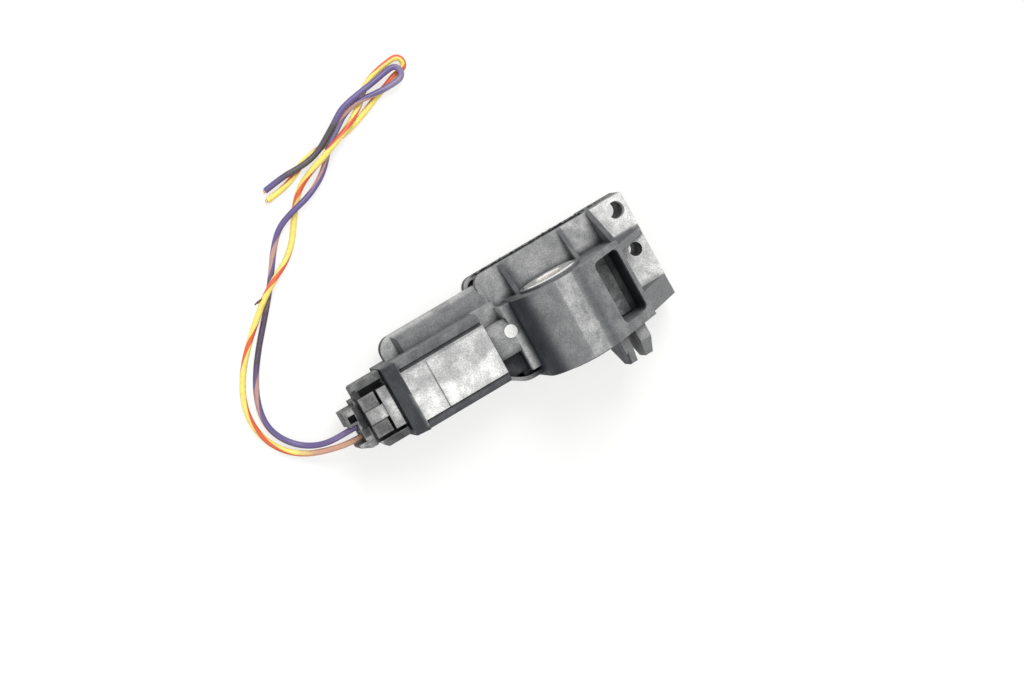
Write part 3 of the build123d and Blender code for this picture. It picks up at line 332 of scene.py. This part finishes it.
# Harness plug, barer and smoother than the housing
plug = dict(
    housing,
    bare=(0.012, 0.013, 0.016),
    sideHaze=0.08,
    upDustAndLight=0.10,
    rightLight=0.03,
    leftShade=-0.05,
    patches={
        "collarFloor": ((-43.9, -4.7, 12.0), (-36.6, 10.9, 13.4), 0.15, 0.0, 0.003),
        "collarRear": ((-46.3, -4.7, 13.6), (-43.9, 11.7, 17.6), 0.25, 0.0, 0.012),
        "collarUpper": ((-45.0, 10.8, 17.0), (-36.6, 13.4, 17.6), 0.30, 0.09, 0.17),
        "collarLower": ((-46.3, -7.2, 17.0), (-36.6, -4.8, 17.6), 0.20, 0.05, 0.10),
        "collarTail": ((-47.6, -7.3, 11.0), (-45.2, -0.6, 17.8), 0.45, 0.34, 0.50),
        "wireBlock": ((-51.2, -5.5, 14.0), (-46.0, 7.6, 14.8), 0.20, 0.14, 0.40),
        "wireBlockGap": ((-48.0, 0.4, 14.0), (-45.9, 7.6, 14.8), 0.30, 0.0, 0.02),
        "wireNotch": ((-48.6, -2.0, 4.0), (-46.6, 0.8, 14.8), 0.45, 0.0, 0.02),
    },
    scuffs=(230.0, 6.0, 0.36, 0.66),
    wallReach=2.2 * mm,
    creviceShade=(0.25, 0.95, 0.1, 1.0),
    roughness=(0.40, 0.58),
)
paint("plug_housing", mouldedFinish("plugMoulding", plug))

# Latch lever, dusty on its neck and thumb bar, with a painted highlight on the thumb bar's middle
lever = dict(
    plug,
    patches={
        "arms": ((-45.8, -4.0, 16.0), (-40.0, 9.0, 16.9), 0.15, 0.15, 0.24),
        "upperArm": ((-44.7, 5.3, 16.0), (-41.2, 8.1, 16.9), 0.30, 0.10, 0.15),
        "lowerArm": ((-44.7, -3.1, 16.0), (-41.2, -0.3, 16.9), 0.30, 0.10, 0.15),
        "neck": ((-45.8, 0.3, 17.1), (-39.9, 4.7, 17.7), 0.35, 0.24, 0.34),
        "neckFront": ((-41.8, 0.9, 14.0), (-39.0, 4.2, 21.0), 1.0, 0.50, 0.70),
        "thumbBar": ((-40.1, -4.4, 17.6), (-36.6, 9.2, 18.6), 0.3, 0.26, 0.37),
        # painted highlight on the middle of the thumb bar
        "thumbMiddle": ((-38.8, -1.0, 15.0), (-36.4, 4.6, 21.0), 1.3, 0.62, 0.84),
    },
)
paint("latch_lever", mouldedFinish("leverMoulding", lever))
print("plug finished")

# Plated bushing, silver outside and golden in its bore
bushing = {
    "plate": (0.88, 0.89, 0.90),
    "golden": (0.74, 0.67, 0.52),
    "endFacing": (0.2, 0.8),  # from the bore's side to the flat ends
    "boreGold": 0.5,
    "boreMetal": 0.35,
    "stain": (500.0, 4.0, 0.35, 0.7),
    "stainGold": 0.2,
    "roughness": (0.22, 0.42),
    "bump": (0.1, 0.05 * mm),
}


def platedFinish():
    material, tree, shader = startFinish("bushingPlate")
    stain = speckle(tree, objectPoint(tree), *bushing["stain"])
    ends = combine(tree, "ABSOLUTE", objectFacing(tree, 1), 0.0)
    gold = spread(tree, ends, *bushing["endFacing"], bushing["boreGold"], 0.0)
    gold = combine(tree, "ADD", gold, combine(tree, "MULTIPLY", stain, bushing["stainGold"]))
    colour = blendColours(tree, gold, bushing["plate"], bushing["golden"])
    tree.links.new(colour, shader.inputs["Base Color"])
    metal = spread(tree, ends, *bushing["endFacing"], bushing["boreMetal"], 1.0)
    tree.links.new(metal, shader.inputs["Metallic"])
    tree.links.new(spread(tree, stain, 0.0, 1.0, *bushing["roughness"]), shader.inputs["Roughness"])
    addBump(tree, shader, stain, *bushing["bump"])
    return material


paint("mounting_bushing", platedFinish())
print("bushing finished")

# Finishes of the pieces inside: dark tone, light tone, roughness and metal
innerGrain = {"cloud": (900.0, 3.0, 0.3, 0.7), "bump": (0.1, 0.04 * mm)}
inner = {
    "cover_seal": ((0.03, 0.03, 0.03), (0.06, 0.06, 0.06), 0.7, 0.0),
    "interface_seal": ((0.35, 0.07, 0.03), (0.45, 0.12, 0.05), 0.6, 0.0),
    "wire_seal_upper": ((0.05, 0.12, 0.35), (0.08, 0.18, 0.45), 0.6, 0.0),
    "wire_seal_lower": ((0.05, 0.12, 0.35), (0.08, 0.18, 0.45), 0.6, 0.0),
    "terminal_retainer": ((0.75, 0.72, 0.60), (0.85, 0.82, 0.70), 0.5, 0.0),
    "circuit_board": ((0.01, 0.12, 0.04), (0.02, 0.20, 0.08), 0.4, 0.0),
    "acceleration_chip": ((0.012, 0.012, 0.012), (0.04, 0.04, 0.04), 0.5, 0.0),
    "interface_chip": ((0.012, 0.012, 0.012), (0.04, 0.04, 0.04), 0.5, 0.0),
    "filter_capacitors": ((0.40, 0.28, 0.16), (0.52, 0.38, 0.24), 0.45, 0.0),
    "header_pin_upper": ((0.62, 0.60, 0.55), (0.78, 0.76, 0.72), 0.3, 1.0),
    "header_pin_lower": ((0.62, 0.60, 0.55), (0.78, 0.76, 0.72), 0.3, 1.0),
    "socket_terminal_upper": ((0.66, 0.62, 0.50), (0.80, 0.76, 0.64), 0.3, 1.0),
    "socket_terminal_lower": ((0.66, 0.62, 0.50), (0.80, 0.76, 0.64), 0.3, 1.0),
    "copper_end_yellow": ((0.55, 0.24, 0.12), (0.80, 0.42, 0.24), 0.35, 1.0),
    "copper_end_violet": ((0.55, 0.24, 0.12), (0.80, 0.42, 0.24), 0.35, 1.0),
}
for node, (dark, light, roughness, metal) in inner.items():
    material, tree, shader = startFinish(node + "Finish")
    cloud = speckle(tree, objectPoint(tree), *innerGrain["cloud"])
    tree.links.new(blendColours(tree, cloud, dark, light), shader.inputs["Base Color"])
    shader.inputs["Roughness"].default_value = roughness
    shader.inputs["Metallic"].default_value = metal
    addBump(tree, shader, cloud, *innerGrain["bump"])
    paint(node, material)
print("inner pieces finished")

# Cut wires. Each stripe has the turns that it has made round the skin at a share of the length,
# and each stretch of another tone its start and end as such shares, how strong it is, and its tone.
wire = {
    "radius": 0.9 * mm,
    "roundness": 5,
    "smoothness": 10,
    "violet": {
        "skin": (0.125, 0.092, 0.25),
        "stripe": (0.52, 0.30, 0.25),
        "length": 0.2196,
        "stripeTurns": (
            (0.0, 0.05), (0.10, 0.25), (0.146, 0.48), (0.163, 0.62), (0.178, 0.78), (0.19, 0.95),
            (0.225, 1.35), (0.247, 1.55), (0.27, 2.0), (0.285, 2.48), (0.295, 2.58), (0.315, 2.75),
            (0.33, 2.98), (0.38, 3.3), (0.40, 3.47), (0.418, 3.55), (0.448, 3.62), (0.47, 4.0),
            (0.495, 4.4), (0.51, 4.48), (0.528, 4.6), (0.55, 4.78), (0.583, 4.93), (0.61, 5.1),
            (0.70, 5.2), (0.86, 5.3), (1.0, 5.35),
        ),
        "toneStretches": {
            # painted sheen: a lilac highlight on the violet wire near the plug
            "plugEnd": (0.0, 0.05, 0.35, (0.45, 0.35, 0.62)),
            "dark": (0.19, 0.275, 1.1, (0.075, 0.05, 0.065)),
            "grey": (0.45, 0.52, 0.45, (0.33, 0.31, 0.38)),
            # painted sheen: lilac on the violet wire's loop
            "loop": (0.60, 0.70, 0.5, (0.38, 0.33, 0.46)),
            "cutEnd": (0.86, 0.985, 1.2, (0.075, 0.065, 0.06)),
        },
    },
    "yellow": {
        "skin": (0.93, 0.76, 0.17),
        "stripe": (0.72, 0.115, 0.05),
        "length": 0.2332,
        "stripeTurns": (
            (0.0, 0.4), (0.05, 0.46), (0.09, 0.5), (0.115, 0.64), (0.14, 0.83), (0.158, 0.97),
            (0.183, 1.43), (0.20, 1.62), (0.218, 1.9), (0.235, 2.1), (0.252, 2.45), (0.27, 2.7),
            (0.288, 2.88), (0.309, 3.0), (0.335, 3.25), (0.358, 3.52), (0.373, 3.72), (0.395, 3.85),
            (0.415, 4.0), (0.435, 4.47), (0.465, 4.62), (0.488, 4.8), (0.507, 4.92), (0.54, 5.2),
            (0.575, 5.47), (0.635, 5.52), (0.665, 5.5), (0.70, 5.7), (0.772, 5.92), (0.82, 6.2),
            (0.86, 6.5), (0.88, 6.92), (0.905, 6.97), (0.93, 7.4), (0.95, 7.8), (0.97, 7.92), (1.0, 8.1),
        ),
        "toneStretches": {
            "plugEnd": (-0.1, 0.078, 1.3, (0.58, 0.31, 0.22)),
        },
    },
    "stripeShare": 0.26,
    "stripeEdge": 0.03,
    "seamTurn": 0.5,  # at this turn the stripe lies on the skin's seam
    "mostTurns": 9.0,
    "dirt": (700.0, 5.0, 0.42, 0.75),
    "soil": (0.10, 0.08, 0.06),
    "soilShare": 0.22,
    "stretchEdge": 0.015,
    "stretchDirt": 0.7,  # dirt at which a stretch of another tone has its full strength
    "stretchLeast": 0.7,  # share of that strength where there is no dirt
    "roughness": 0.38,
}
# Routes in mm, the same points as in the solids' source, from inside the plug to the cut ends.
# A strand's middle is lying on the table, over one other strand, or on top of two.
startX, upperY, lowerY, exitZ = -29.65, 1.45, -1.75, 8.8
lying, over, top = 0.92, 2.87, 4.82
wireRoutes = {
    "violet": [
        (startX, upperY, exitZ), (-40.2, upperY, 8.77), (-51.4, upperY, exitZ), (-57.8, 1.1, 5.4),
        (-63.0, 3.1, 2.0), (-67.3, 7.5, lying), (-69.7, 13.4, lying), (-68.7, 20.4, lying),
        (-65.3, 27.4, lying), (-60.5, 33.9, lying), (-55.6, 39.5, lying), (-51.0, 44.9, lying),
        (-46.8, 50.5, lying), (-43.0, 56.0, lying), (-38.8, 60.6, 1.8), (-33.4, 62.7, over + 0.1),
        (-27.7, 64.0, over + 0.1), (-22.4, 66.3, 2.0), (-18.8, 69.1, 2.2), (-16.1, 72.4, over),
        (-13.2, 74.9, over), (-9.9, 77.2, over), (-6.3, 79.6, over), (-1.6, 80.8, over + 0.05),
        (3.7, 80.1, over), (9.5, 79.95, over), (12.84, 80.35, over), (13.89, 81.69, over),
        (13.68, 83.37, over), (12.34, 84.42, over), (9.0, 83.95, over), (5.0, 83.2, 3.4), (0.4, 82.6, 4.2),
        (-3.7, 81.9, 4.4), (-7.3, 80.9, 4.4), (-11.0, 78.4, 4.4), (-14.4, 76.3, 4.0),
        (-17.3, 74.4, over + 0.2), (-21.1, 73.0, over + 0.1), (-25.9, 72.5, over + 0.1),
        (-31.0, 72.6, over - 0.2), (-36.8, 71.5, lying),
    ],
    "yellow": [
        (startX, lowerY, exitZ), (-40.4, lowerY, 8.77), (-51.8, lowerY, exitZ), (-57.9, -0.9, 5.0),
        (-63.6, 0.9, 1.8), (-68.6, 4.6, lying), (-72.2, 10.8, lying), (-73.0, 18.0, lying),
        (-71.1, 24.9, lying), (-67.0, 31.4, lying), (-61.6, 37.1, lying), (-56.8, 41.5, 1.7),
        (-52.0, 45.8, over + 0.15), (-46.6, 49.0, over + 0.15), (-41.4, 51.5, 1.6), (-37.0, 55.5, lying),
        (-33.6, 60.5, lying), (-30.6, 64.7, lying), (-27.1, 68.0, 1.7), (-22.8, 70.2, 3.6),
        (-18.3, 71.8, top + 0.15), (-13.2, 73.7, top + 0.1), (-8.3, 75.4, 3.3), (-4.5, 77.4, 2.2),
        (-0.6, 79.8, lying), (2.1, 82.5, lying), (4.8, 84.3, lying), (8.1, 85.4, lying),
        (11.5, 86.0, lying), (14.64, 86.41, lying), (15.98, 85.36, lying), (16.19, 83.68, lying),
        (15.14, 82.34, lying), (11.9, 81.95, lying), (8.5, 80.5, lying), (5.1, 79.3, lying),
        (2.1, 78.1, lying), (-1.5, 76.6, lying), (-5.2, 75.4, lying), (-8.6, 74.5, lying),
        (-12.1, 74.1, lying), (-15.2, 74.4, lying), (-18.8, 74.2, lying), (-22.9, 73.6, lying),
        (-26.6, 71.6, lying), (-30.3, 70.0, lying), (-34.1, 69.2, lying), (-37.6, 68.8, lying),
    ],
}


def wireFinish(colour, look):
    material, tree, shader = startFinish(colour + "Insulation")
    split = tree.nodes.new("ShaderNodeSeparateXYZ")
    tree.links.new(tree.nodes.new("ShaderNodeTexCoord").outputs["UV"], split.inputs[0])
    along, around = split.outputs[0], split.outputs[1]
    turn = tree.nodes.new("ShaderNodeFloatCurve")
    line = turn.mapping.curves[0]
    places = [(share, turns / wire["mostTurns"]) for share, turns in look["stripeTurns"]]
    for knot, knotPlace in zip(line.points, (places[0], places[-1])):
        knot.location = knotPlace
    for knotPlace in places[1:-1]:
        line.points.new(*knotPlace)
    for knot in line.points:
        knot.handle_type = "VECTOR"
    turn.mapping.update()
    tree.links.new(along, turn.inputs["Value"])
    turned = combine(tree, "MULTIPLY", turn.outputs["Value"], wire["mostTurns"])
    turned = combine(tree, "SUBTRACT", turned, wire["seamTurn"])
    place = combine(tree, "FRACT", combine(tree, "SUBTRACT", around, turned), 0.0)
    away = combine(tree, "MINIMUM", place, combine(tree, "SUBTRACT", 1.0, place))
    halfStripe, stripeEdge = wire["stripeShare"] / 2, wire["stripeEdge"]
    stripe = spread(tree, away, halfStripe - stripeEdge, halfStripe + stripeEdge, 1.0, 0.0)
    skin = blendColours(tree, stripe, look["skin"], look["stripe"])
    dirt = speckle(tree, objectPoint(tree), *wire["dirt"])
    skin = blendColours(tree, combine(tree, "MULTIPLY", dirt, wire["soilShare"]), skin, wire["soil"])
    soft = wire["stretchEdge"]
    for start, end, amount, tone in look["toneStretches"].values():
        inside = combine(
            tree,
            "MULTIPLY",
            spread(tree, along, start - soft, start + soft),
            spread(tree, along, end - soft, end + soft, 1.0, 0.0),
        )
        strength = spread(tree, dirt, 0.0, wire["stretchDirt"], wire["stretchLeast"] * amount, amount)
        skin = blendColours(tree, combine(tree, "MULTIPLY", inside, strength), skin, tone)
    tree.links.new(skin, shader.inputs["Base Color"])
    shader.inputs["Roughness"].default_value = wire["roughness"]
    return material


for colour, route in wireRoutes.items():
    look = wire[colour]
    curve = bpy.data.curves.new("wire" + colour.capitalize(), "CURVE")
    curve.dimensions = "3D"
    curve.bevel_depth = wire["radius"]
    curve.bevel_resolution = wire["roundness"]
    curve.resolution_u = wire["smoothness"]
    curve.use_fill_caps = True
    spline = curve.splines.new("NURBS")
    spline.points.add(len(route) - 1)
    for bend, (x, y, z) in zip(spline.points, route):
        bend.co = (x * mm, y * mm, z * mm, 1.0)
    spline.order_u = 3
    spline.use_endpoint_u = True
    piece = bpy.data.objects.new("wire" + colour.capitalize(), curve)
    bpy.context.scene.collection.objects.link(piece)
    curve.materials.append(wireFinish(colour, look))
    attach(piece, "sensor")
    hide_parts("wire_" + colour)
print("wires laid")

# White paint dot on the hump beside the boss
dot = {
    "place": (1.6 * mm, 3.9 * mm, 19.98 * mm),
    "radius": 1.95 * mm,
    "thickness": 0.16 * mm,
    "sides": 64,
    "rim": 0.12,  # share of the radius that rounds off
    "rise": 0.35,  # share of the thickness by which its middle stands higher
    "smooth": 40,
    "white": (0.86, 0.86, 0.84),
    "grey": (0.74, 0.74, 0.72),
    "cloud": (1500.0, 3.0, 0.3, 0.7),
    "roughness": 0.4,
    "bump": (0.15, 0.04 * mm),
}
bpy.ops.object.select_all(action="DESELECT")
bpy.ops.mesh.primitive_cylinder_add(
    vertices=dot["sides"],
    radius=dot["radius"],
    depth=dot["thickness"],
    location=dot["place"],
)
paintDot = bpy.context.object
paintDot.name = "paintDot"
bpy.ops.object.mode_set(mode="EDIT")
bpy.ops.mesh.select_all(action="DESELECT")
bpy.ops.object.mode_set(mode="OBJECT")
for face in paintDot.data.polygons:
    face.select = face.normal.z > 0.5
bpy.ops.object.mode_set(mode="EDIT")
bpy.ops.mesh.inset(thickness=dot["radius"] * dot["rim"])
bpy.ops.transform.translate(value=(0, 0, dot["thickness"] * dot["rise"]))
bpy.ops.object.mode_set(mode="OBJECT")
bpy.ops.object.transform_apply(location=True, rotation=True, scale=True)
bpy.ops.object.shade_smooth_by_angle(angle=math.radians(dot["smooth"]))
material, tree, shader = startFinish("whitePaint")
cloud = speckle(tree, objectPoint(tree), *dot["cloud"])
tree.links.new(blendColours(tree, cloud, dot["grey"], dot["white"]), shader.inputs["Base Color"])
shader.inputs["Roughness"].default_value = dot["roughness"]
addBump(tree, shader, cloud, *dot["bump"])
paintDot.data.materials.append(material)
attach(paintDot, "sensor")
print("paint dot added")

# Bare ledge on the floor of the window's pocket
ledge = dict(
    housing,
    low=(29.4, -9.6, 12.2),
    high=(37.0, 9.6, 13.3),
    softness=0.2 * mm,
    segments=3,
    smooth=40,
    # the ledge's edges are lifted much lighter, a painted highlight along them
    edge=(0.35 * mm, 0.60),
    patches={
        "top": ((29.0, -10.0, 12.8), (37.2, 10.0, 13.8), 0.15, 0.20, 0.42),
    },
)
bpy.ops.object.select_all(action="DESELECT")
bpy.ops.mesh.primitive_cube_add(
    size=1.0,
    location=[(low + high) / 2 * mm for low, high in zip(ledge["low"], ledge["high"])],
    scale=[(high - low) * mm for low, high in zip(ledge["low"], ledge["high"])],
)
pocketLedge = bpy.context.object
pocketLedge.name = "pocketLedge"
bpy.ops.object.transform_apply(location=True, rotation=True, scale=True)
bevel = pocketLedge.modifiers.new("softEdge", "BEVEL")
bevel.width = ledge["softness"]
bevel.segments = ledge["segments"]
bpy.ops.object.modifier_apply(modifier=bevel.name)
bpy.ops.object.shade_smooth_by_angle(angle=math.radians(ledge["smooth"]))
pocketLedge.data.materials.append(mouldedFinish("ledgeMoulding", ledge))
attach(pocketLedge, "sensor")
print("pocket ledge added")

# Dark sealant squeezed out in a ragged line along the tray's upper edge, its ends in mm
sealant = {
    "root": (2.0, 21.56, 5.4),
    "tip": (48.0, 21.56, 5.4),
    "radii": (0.24 * mm, 0.24 * mm),
    "cuts": 320,
    "clump": 0.8 * mm,
    "ragged": 0.9 * mm,
    "dark": (0.02, 0.02, 0.022),
    "dusty": (0.34, 0.34, 0.33),
}
# Brown snag that stands out from the yellow wire, its ends in mm
snag = {
    "root": (-52.3, 45.75, 3.05),
    "tip": (-55.6, 45.2, 2.5),
    "radii": (0.40 * mm, 0.26 * mm),
    "cuts": 16,
    "clump": 0.7 * mm,
    "ragged": 0.7 * mm,
    "dark": (0.10, 0.03, 0.025),
    "dusty": (0.30, 0.13, 0.09),
}
# Both ragged rods alike
brokenUp = {
    "sides": 12,
    "depth": 4,
    "smooth": 50,
    "cloud": (1100.0, 4.0, 0.4, 0.75),
    "roughness": 0.7,
    "bump": (0.3, 0.1 * mm),
}


def raggedRod(name, look):
    root, tip = [[value * mm for value in look[end]] for end in ("root", "tip")]
    reach = [far - near for near, far in zip(root, tip)]
    length = math.dist(root, tip)
    bpy.ops.object.select_all(action="DESELECT")
    bpy.ops.mesh.primitive_cone_add(
        vertices=brokenUp["sides"],
        radius1=look["radii"][0],
        radius2=look["radii"][1],
        depth=length,
        location=[(near + far) / 2 for near, far in zip(root, tip)],
        rotation=(0, math.acos(reach[2] / length), math.atan2(reach[1], reach[0])),
    )
    rod = bpy.context.object
    rod.name = name
    bpy.ops.object.mode_set(mode="EDIT")
    bpy.ops.mesh.select_mode(type="EDGE")
    bpy.ops.mesh.select_all(action="DESELECT")
    bpy.ops.object.mode_set(mode="OBJECT")
    for edge in rod.data.edges:
        ends = [rod.data.vertices[end].co.z for end in edge.vertices]
        edge.select = abs(ends[0] - ends[1]) > length / 2
    bpy.ops.object.mode_set(mode="EDIT")
    bpy.ops.mesh.subdivide(number_cuts=look["cuts"])
    bpy.ops.mesh.select_mode(type="VERT")
    bpy.ops.object.mode_set(mode="OBJECT")
    bpy.ops.object.transform_apply(location=True, rotation=True, scale=True)
    clumps = bpy.data.textures.new(name + "Clumps", "CLOUDS")
    clumps.noise_scale = look["clump"]
    clumps.noise_depth = brokenUp["depth"]
    ragged = rod.modifiers.new("ragged", "DISPLACE")
    ragged.texture = clumps
    ragged.strength = look["ragged"]
    ragged.mid_level = 0.5
    bpy.ops.object.modifier_apply(modifier=ragged.name)
    bpy.ops.object.shade_smooth_by_angle(angle=math.radians(brokenUp["smooth"]))
    material, tree, shader = startFinish(name + "Finish")
    cloud = speckle(tree, objectPoint(tree), *brokenUp["cloud"])
    tree.links.new(blendColours(tree, cloud, look["dark"], look["dusty"]), shader.inputs["Base Color"])
    shader.inputs["Roughness"].default_value = brokenUp["roughness"]
    addBump(tree, shader, cloud, *brokenUp["bump"])
    rod.data.materials.append(material)
    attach(rod, "sensor")


raggedRod("sealantBead", sealant)
raggedRod("wireSnag", snag)
print("sealant and snag added")

# Pale floor that keeps its shadow, lifted to near white where it is seen
table = {
    "size": 3.0,
    "colour": (0.86, 0.86, 0.85),
    "seen": (0.33, 0.33, 0.32),
    "lift": 0.68,
}
bpy.ops.object.select_all(action="DESELECT")
bpy.ops.mesh.primitive_plane_add(size=table["size"], location=(0, 0, 0))
floor = bpy.context.object
floor.name = "tableTop"
material, tree, shader = startFinish("tableTop")
tree.nodes.remove(shader)
diffuse = tree.nodes.new("ShaderNodeBsdfDiffuse")
glow = tree.nodes.new("ShaderNodeEmission")
seen = seenDirectly(tree)
tree.links.new(blendColours(tree, seen, table["colour"], table["seen"]), diffuse.inputs["Color"])
tree.links.new(combine(tree, "MULTIPLY", seen, table["lift"]), glow.inputs["Strength"])
both = tree.nodes.new("ShaderNodeAddShader")
tree.links.new(diffuse.outputs[0], both.inputs[0])
tree.links.new(glow.outputs[0], both.inputs[1])
output = [node for node in tree.nodes if node.type == "OUTPUT_MATERIAL"][0]
tree.links.new(both.outputs[0], output.inputs["Surface"])
floor.data.materials.append(material)

# Soft light from above and behind, and a white world
light = {
    "key": {"place": (0.35, 0.75, 0.95), "size": 0.7, "power": 11.0},
    "fill": {"place": (-0.7, -0.2, 1.0), "size": 0.9, "power": 4.0},
    "world": 0.55,
}
for name in ("key", "fill"):
    lamp = bpy.data.lights.new(name + "Light", "AREA")
    lamp.size = light[name]["size"]
    lamp.energy = light[name]["power"]
    holder = bpy.data.objects.new(name + "Light", lamp)
    holder.location = light[name]["place"]
    bpy.context.scene.collection.objects.link(holder)
    holder.rotation_euler = holder.location.to_track_quat("Z", "Y").to_euler()
world = bpy.data.worlds.new("studio")
bpy.context.scene.world = world
world.use_nodes = True
tree = world.node_tree
background = tree.nodes["Background"]
bright = spread(tree, seenDirectly(tree), 0.0, 1.0, light["world"], 1.0)
tree.links.new(bright, background.inputs["Strength"])
background.inputs["Color"].default_value = (1.0, 1.0, 1.0, 1.0)
print("floor and light set")
